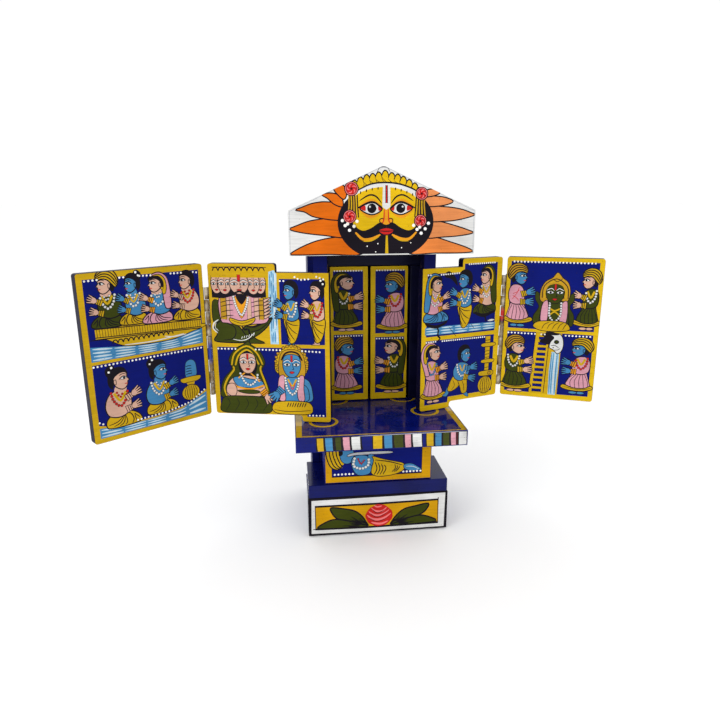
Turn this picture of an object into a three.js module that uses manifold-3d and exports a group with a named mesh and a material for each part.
// Folding shrine box of painted wood, with two pairs of hinged picture leaves.
// Millimetres, +Z up, the open front faces -Y. The origin is on the floor,
// at the middle of the base, half way from the drawer's face to the back board.
import * as THREE from 'three';
import { mergeVertices } from 'three/addons/utils/BufferGeometryUtils.js';
import Module from 'manifold-3d';

const wasm = await Module();
wasm.setup();

// Clearance between pieces that touch, and the depth from front to back.
const GAP = 0.3;
const DEPTH = 93.8;

// Base: a drawer box under a wider slab.
const BASE_WIDTH = 121.9;
const BASE_TOP = 36.5;
const BASE_WALL = 6;
const BASE_FLOOR = 5;
const SLAB_WIDTH = 120.4;
const SLAB_TOP = 48.4;

// Neck block and the shelf it carries.
const NECK_WIDTH = 92;
const NECK_FRONT = -44.7;
const SHELF_WIDTH = 140;
const SHELF_FRONT = -68.1;
const SHELF_UNDER = 88.1;
const SHELF_TOP = 101.2;

// Column: two sides, a back board and a low front board, from floor to roof.
const COLUMN_WIDTH = 110;
const COLUMN_FRONT = 3.4;
const COLUMN_WALL = 7;
const BACK_THICK = 6;
const ROOF_UNDER = 242.6;
const ROOF_TOP = 251.6;
const ROOF_WIDTH = 114;

// Pediment board in front of the roof.
const PEDIMENT_WIDTH = 140.3;
const PEDIMENT_FRONT = -61.5;
const PEDIMENT_THICK = 8;
const PEDIMENT_SHOULDER = 275.2;
const PEDIMENT_PEAK = 306.7;

// Picture leaves: inner ones turn on pins, outer ones hang on strip hinges.
const LEAF_THICK = 7;
const LEAF_CORNER = 2.5;
const LEAF_LOW = 102;
const LEAF_RAISED_LOW = 107.5;
const LEAF_HIGH = 227;
const LEAF_RAISED_HIGH = 234;
const PIN_RADIUS = 2.2;
const PIN_BELOW = 8;
const PIN_ABOVE = 6;
const PIN_PLAY = 0.35;
const PIN_EDGE = 6.6;       // pin centre to the leaf's inner edge
const PIN_SKIN = 2.5;       // pin centre to the leaf's painted face
const TAB_WIDTH = 11;
const FOLD_GAP = 1.5;       // between painted faces when folded shut
const HINGE_HALF = 2;       // hinge axis to each leaf's edge
const LEAVES = [
  {
    side: 'left',
    pivot: [-45.75, -34.8],
    angle: 168.14,
    inner: { width: 97.8, topStep: 43, bottomStep: 24 },
    bend: 49.5,
    outerWidth: 98,
    hinge: { low: 124, high: 215, knuckles: 9 },
  },
  {
    side: 'right',
    pivot: [45.2, -18.2],
    angle: 17.37,
    inner: { width: 80.2, topStep: 39, bottomStep: 30 },
    bend: 41.46,
    outerWidth: 80.4,
    hinge: { low: 117, high: 218, knuckles: 11 },
  },
];

// Strip hinge between two leaves.
const BARREL_RADIUS = 1.5;
const BARREL_FACETS = 12;
const PLATE_THICK = 0.8;
const PLATE_DEPTH = 6.2;
const PLATE_START = 1.95;   // plate's front edge behind the barrel's axis

// Inner doors of the sanctum, their frame and the lintel over them.
const DOOR_FRONT = 17;
const DOOR_THICK = 6.5;
const DOOR_INNER = 1.2;
const DOOR_OUTER = 34.9;
const DOOR_LOW = 102.3;
const DOOR_HIGH = 225.7;
const DOOR_PIN_EDGE = 2.9;
const DOOR_CORNER = 1.2;
const JAMB_INNER = 37.2;
const LINTEL_UNDER = 226.3;

// Drawer.
const DRAWER_FRONT_THICK = 6;
const DRAWER_LIFT = 0.9;
const DRAWER_WALL = 4;
const DRAWER_FLOOR = 3;
const DRAWER_PLAY = 0.5;
const DRAWER_DEPTH = 36;
const DRAWER_HEIGHT = 27;

const BLUE = new THREE.Color(0.012, 0.022, 0.22);
const YELLOW = new THREE.Color(0.72, 0.44, 0.01);
const WHITE = new THREE.Color(0.86, 0.85, 0.8);
const WOOD = new THREE.Color(0.5, 0.34, 0.19);
const STEEL = new THREE.Color(0.42, 0.37, 0.3);

const rad = THREE.MathUtils.degToRad;
const root = new THREE.Group();

function paint(color, roughness = 0.3, metalness = 0) {
  return new THREE.MeshStandardMaterial({ color, roughness, metalness });
}

function add(name, geometry, material, parent = root) {
  const mesh = new THREE.Mesh(geometry, material);
  mesh.name = name;
  parent.add(mesh);
  return mesh;
}

// A board given by its lowest and highest corners.
function board(x0, x1, y0, y1, z0, z1) {
  const geometry = new THREE.BoxGeometry(x1 - x0, y1 - y0, z1 - z0);
  geometry.translate((x0 + x1) / 2, (y0 + y1) / 2, (z0 + z1) / 2);
  return geometry;
}

// A peg along Z.
function peg(x, y, z0, z1, radius, facets = 16) {
  const geometry = new THREE.CylinderGeometry(radius, radius, z1 - z0, facets);
  geometry.rotateX(Math.PI / 2);
  geometry.translate(x, y, (z0 + z1) / 2);
  return geometry;
}

function toSolid(geometry) {
  const bare = geometry.clone();
  bare.deleteAttribute('normal');
  bare.deleteAttribute('uv');
  const merged = mergeVertices(bare, 1e-4);
  const solid = new wasm.Mesh({
    numProp: 3,
    vertProperties: new Float32Array(merged.attributes.position.array),
    triVerts: new Uint32Array(merged.index.array),
  });
  return new wasm.Manifold(solid);
}

function toGeometry(solid) {
  const mesh = solid.getMesh();
  const geometry = new THREE.BufferGeometry();
  geometry.setAttribute('position', new THREE.BufferAttribute(mesh.vertProperties, 3));
  geometry.setIndex(new THREE.BufferAttribute(mesh.triVerts, 1));
  geometry.computeVertexNormals();
  return geometry;
}

function join(geometries) {
  return toGeometry(geometries.map(toSolid).reduce((whole, next) => whole.add(next)));
}

function cut(geometry, tools) {
  return toGeometry(tools.map(toSolid).reduce((whole, tool) => whole.subtract(tool), toSolid(geometry)));
}

// A flat board cut to an outline in X and Z; rounded corners carry a radius.
function cutBoard(corners, y0, y1) {
  const shape = new THREE.Shape();
  const count = corners.length;
  corners.forEach(([x, z, radius = 0], i) => {
    const here = new THREE.Vector2(x, z);
    const before = new THREE.Vector2(...corners[(i + count - 1) % count]);
    const after = new THREE.Vector2(...corners[(i + 1) % count]);
    const start = here.clone().add(before.sub(here).setLength(radius));
    const end = here.clone().add(after.sub(here).setLength(radius));
    if (i === 0) shape.moveTo(start.x, start.y);
    else shape.lineTo(start.x, start.y);
    if (radius > 0) shape.quadraticCurveTo(x, z, end.x, end.y);
  });
  shape.closePath();
  const geometry = new THREE.ExtrudeGeometry(shape, {
    depth: y1 - y0,
    bevelEnabled: false,
    curveSegments: 4,
  });
  geometry.rotateX(Math.PI / 2);
  geometry.translate(0, y1, 0);
  return geometry;
}

const front = -DEPTH / 2;
const back = DEPTH / 2;
const bodyBack = COLUMN_FRONT - GAP;
const columnInner = COLUMN_WIDTH / 2 - COLUMN_WALL;
const insideHalf = columnInner - GAP;
const columnTop = ROOF_UNDER - GAP;
const backFront = back - BACK_THICK;
const doorPinX = DOOR_OUTER - DOOR_PIN_EDGE;
const doorPinY = DOOR_FRONT + DOOR_THICK / 2;
const pinHole = PIN_RADIUS + PIN_PLAY;
const doorPinXs = [-doorPinX, doorPinX];

// Base box: five boards glued up as one carcass, open at the front for the drawer.
function baseBox() {
  const half = BASE_WIDTH / 2;
  const boxFront = front + DRAWER_FRONT_THICK + GAP;
  const outer = board(-half, half, boxFront, bodyBack, 0, BASE_TOP);
  const hollow = board(
    -half + BASE_WALL,
    half - BASE_WALL,
    boxFront - 1,
    bodyBack - BASE_WALL,
    BASE_FLOOR,
    BASE_TOP - BASE_FLOOR,
  );
  add('base_box', cut(outer, [hollow]), paint(BLUE));
}

// Drawer: a painted front board with a plain wooden tray behind it.
function drawer() {
  const half = BASE_WIDTH / 2;
  add(
    'drawer_front',
    board(-half, half, front, front + DRAWER_FRONT_THICK, DRAWER_LIFT, BASE_TOP),
    paint(YELLOW),
  );
  const trayHalf = half - BASE_WALL - DRAWER_PLAY;
  const trayFront = front + DRAWER_FRONT_THICK + GAP;
  const trayBack = trayFront + DRAWER_DEPTH;
  const trayLow = BASE_FLOOR + GAP;
  const tray = board(-trayHalf, trayHalf, trayFront, trayBack, trayLow, trayLow + DRAWER_HEIGHT - 1);
  const hollow = board(
    -trayHalf + DRAWER_WALL,
    trayHalf - DRAWER_WALL,
    trayFront + DRAWER_WALL,
    trayBack - DRAWER_WALL,
    trayLow + DRAWER_FLOOR,
    trayLow + DRAWER_HEIGHT + 1,
  );
  add('drawer_tray', cut(tray, [hollow]), paint(WOOD, 0.7));
}

// Slab, neck block and the T-shaped shelf, whose tongue is the sanctum's floor.
function stand() {
  const slabHalf = SLAB_WIDTH / 2;
  const slabLow = BASE_TOP + GAP;
  const neckLow = SLAB_TOP + GAP;
  const neckHigh = SHELF_UNDER - GAP;
  const neckHalf = NECK_WIDTH / 2;
  add('base_slab', board(-slabHalf, slabHalf, front, bodyBack, slabLow, SLAB_TOP), paint(BLUE));
  add('neck_block', board(-neckHalf, neckHalf, NECK_FRONT, bodyBack, neckLow, neckHigh), paint(BLUE));
  const shelfHalf = SHELF_WIDTH / 2;
  const tongueBack = backFront - GAP;
  const plan = [
    [-shelfHalf, SHELF_FRONT],
    [shelfHalf, SHELF_FRONT],
    [shelfHalf, bodyBack],
    [insideHalf, bodyBack],
    [insideHalf, tongueBack],
    [-insideHalf, tongueBack],
    [-insideHalf, bodyBack],
    [-shelfHalf, bodyBack],
  ];
  const shape = new THREE.Shape(plan.map(([x, y]) => new THREE.Vector2(x, y)));
  const plank = new THREE.ExtrudeGeometry(shape, { depth: SHELF_TOP - SHELF_UNDER, bevelEnabled: false });
  plank.translate(0, 0, SHELF_UNDER);
  const holeLow = SHELF_TOP - PIN_BELOW - 1;
  const sockets = LEAVES.map(({ pivot: [x, y] }) => peg(x, y, holeLow, SHELF_TOP + 1, pinHole));
  const doorSockets = doorPinXs.map((x) => peg(x, doorPinY, holeLow, SHELF_TOP + 1, pinHole));
  add('shelf', cut(plank, [...sockets, ...doorSockets]), paint(BLUE));
}

// Column boards, the frame strips beside the inner doors, and the lintel.
function column() {
  const half = COLUMN_WIDTH / 2;
  const stripBack = DOOR_FRONT + DOOR_THICK;
  for (const [side, sign] of [['left', -1], ['right', 1]]) {
    const edges = [sign * columnInner, sign * half].sort((a, b) => a - b);
    add(`column_side_${side}`, board(...edges, COLUMN_FRONT, back, 0, columnTop), paint(BLUE));
    const strip = [sign * JAMB_INNER, sign * insideHalf].sort((a, b) => a - b);
    add(
      `door_jamb_${side}`,
      board(...strip, DOOR_FRONT, stripBack, SHELF_TOP + GAP, LINTEL_UNDER - GAP),
      paint(BLUE),
    );
  }
  add('back_board', board(-insideHalf, insideHalf, backFront, back, 0, columnTop), paint(BLUE));
  add(
    'low_front_board',
    board(-insideHalf, insideHalf, COLUMN_FRONT, COLUMN_FRONT + BACK_THICK, 0, SHELF_UNDER - GAP),
    paint(BLUE),
  );
  const lintel = board(-insideHalf, insideHalf, DOOR_FRONT, stripBack + 1, LINTEL_UNDER, columnTop);
  const holes = doorPinXs.map((x) => peg(x, doorPinY, LINTEL_UNDER - 1, LINTEL_UNDER + PIN_ABOVE + 1, pinHole));
  add('lintel', cut(lintel, holes), paint(BLUE));
}

// Roof board with blind holes for the leaves' top pins, and the pediment before it.
function top() {
  const half = ROOF_WIDTH / 2;
  const pedimentBack = PEDIMENT_FRONT + PEDIMENT_THICK;
  const roof = board(-half, half, pedimentBack + GAP, back, ROOF_UNDER, ROOF_TOP);
  const holeTop = ROOF_UNDER + PIN_ABOVE + 1;
  const holes = LEAVES.map(({ pivot: [x, y] }) => peg(x, y, ROOF_UNDER - 1, holeTop, pinHole));
  add('roof_board', cut(roof, holes), paint(BLUE));
  const wide = PEDIMENT_WIDTH / 2;
  const outline = [
    [-wide, ROOF_UNDER, 1],
    [wide, ROOF_UNDER, 1],
    [wide, PEDIMENT_SHOULDER, 1.5],
    [0, PEDIMENT_PEAK, 2],
    [-wide, PEDIMENT_SHOULDER, 1.5],
  ];
  add('pediment', cutBoard(outline, PEDIMENT_FRONT, pedimentBack), paint(WHITE));
}

// Half of a strip hinge: a plate along the leaf's edge and every second knuckle.
// Local X runs from the barrel's axis to this half's leaf, and Y to its painted face.
function hingeHalf({ low, high, knuckles }, parity, toLeaf, toFace) {
  const pitch = (high - low) / knuckles;
  const plateOuter = HINGE_HALF - GAP;
  const plate = [toLeaf * (plateOuter - PLATE_THICK), toLeaf * plateOuter].sort((a, b) => a - b);
  const depth = [-toFace * PLATE_START, -toFace * (PLATE_START + PLATE_DEPTH)].sort((a, b) => a - b);
  const pieces = [board(...plate, ...depth, low, high)];
  for (let i = parity; i < knuckles; i += 2) {
    const z0 = low + i * pitch + GAP;
    const z1 = z0 + pitch - 2 * GAP;
    const webX = [0, toLeaf * plateOuter].sort((a, b) => a - b);
    const webY = [0, -toFace * (PLATE_START + 0.5)].sort((a, b) => a - b);
    pieces.push(peg(0, 0, z0, z1, BARREL_RADIUS, BARREL_FACETS));
    pieces.push(board(...webX, ...webY, z0, z1));
  }
  return join(pieces);
}

// A pair of leaves. In the inner group the pin is the origin and X runs along the leaf.
function leafPair({ side, pivot, angle, inner, bend, outerWidth, hinge }) {
  const toFace = side === 'left' ? 1 : -1;
  const edge = inner.width - PIN_EDGE;
  const faces = [toFace * PIN_SKIN, toFace * (PIN_SKIN - LEAF_THICK)].sort((a, b) => a - b);
  const tab = TAB_WIDTH / 2;
  const outline = [
    [-PIN_EDGE, LEAF_LOW, LEAF_CORNER],
    [inner.bottomStep - PIN_EDGE, LEAF_LOW, LEAF_CORNER],
    [inner.bottomStep - PIN_EDGE, LEAF_RAISED_LOW, LEAF_CORNER],
    [edge, LEAF_RAISED_LOW, LEAF_CORNER],
    [edge, LEAF_RAISED_HIGH, LEAF_CORNER],
    [inner.topStep - PIN_EDGE, LEAF_RAISED_HIGH, LEAF_CORNER],
    [inner.topStep - PIN_EDGE, LEAF_HIGH],
    [tab, LEAF_HIGH],
    [tab, ROOF_UNDER - 2 * GAP],
    [-tab, ROOF_UNDER - 2 * GAP],
    [-tab, LEAF_HIGH],
    [-PIN_EDGE, LEAF_HIGH, 0.4],
  ];
  const turn = new THREE.Group();
  turn.position.set(...pivot, 0);
  turn.rotation.z = rad(angle);
  root.add(turn);
  const pins = [
    peg(0, 0, SHELF_TOP - PIN_BELOW, LEAF_LOW + 1, PIN_RADIUS),
    peg(0, 0, ROOF_UNDER - 1, ROOF_UNDER + PIN_ABOVE, PIN_RADIUS),
  ];
  add(`${side}_inner_leaf`, join([cutBoard(outline, ...faces), ...pins]), paint(YELLOW), turn);

  const barrel = new THREE.Group();
  barrel.position.set(edge + HINGE_HALF, toFace * (PIN_SKIN + FOLD_GAP / 2), 0);
  turn.add(barrel);
  const metal = paint(STEEL, 0.45, 1);
  add(`${side}_hinge_inner_half`, hingeHalf(hinge, 0, -1, toFace), metal, barrel);

  const fold = new THREE.Group();
  fold.rotation.z = rad(toFace * bend);
  barrel.add(fold);
  add(`${side}_hinge_outer_half`, hingeHalf(hinge, 1, 1, toFace), metal, fold);
  const outerFaces = [-toFace * FOLD_GAP / 2, -toFace * (FOLD_GAP / 2 + LEAF_THICK)].sort((a, b) => a - b);
  const outerOutline = [
    [HINGE_HALF, LEAF_RAISED_LOW, LEAF_CORNER],
    [HINGE_HALF + outerWidth, LEAF_RAISED_LOW, LEAF_CORNER],
    [HINGE_HALF + outerWidth, LEAF_RAISED_HIGH, LEAF_CORNER],
    [HINGE_HALF, LEAF_RAISED_HIGH, LEAF_CORNER],
  ];
  add(`${side}_outer_leaf`, cutBoard(outerOutline, ...outerFaces), paint(YELLOW), fold);
}

// Inner doors: each a small board with a pin at the top and the bottom.
function innerDoors() {
  for (const [side, sign] of [['left', -1], ['right', 1]]) {
    const edges = [sign * DOOR_INNER, sign * DOOR_OUTER].sort((a, b) => a - b);
    const outline = [
      [edges[0], DOOR_LOW, DOOR_CORNER],
      [edges[1], DOOR_LOW, DOOR_CORNER],
      [edges[1], DOOR_HIGH, DOOR_CORNER],
      [edges[0], DOOR_HIGH, DOOR_CORNER],
    ];
    const pins = [
      peg(sign * doorPinX, doorPinY, SHELF_TOP - PIN_BELOW, DOOR_LOW + 1, PIN_RADIUS),
      peg(sign * doorPinX, doorPinY, DOOR_HIGH - 1, LINTEL_UNDER + PIN_ABOVE, PIN_RADIUS),
    ];
    const slab = cutBoard(outline, DOOR_FRONT, DOOR_FRONT + DOOR_THICK);
    add(`inner_door_${side}`, join([slab, ...pins]), paint(YELLOW));
  }
}

baseBox();
drawer();
stand();
column();
top();
LEAVES.forEach(leafPair);
innerDoors();

export default root;
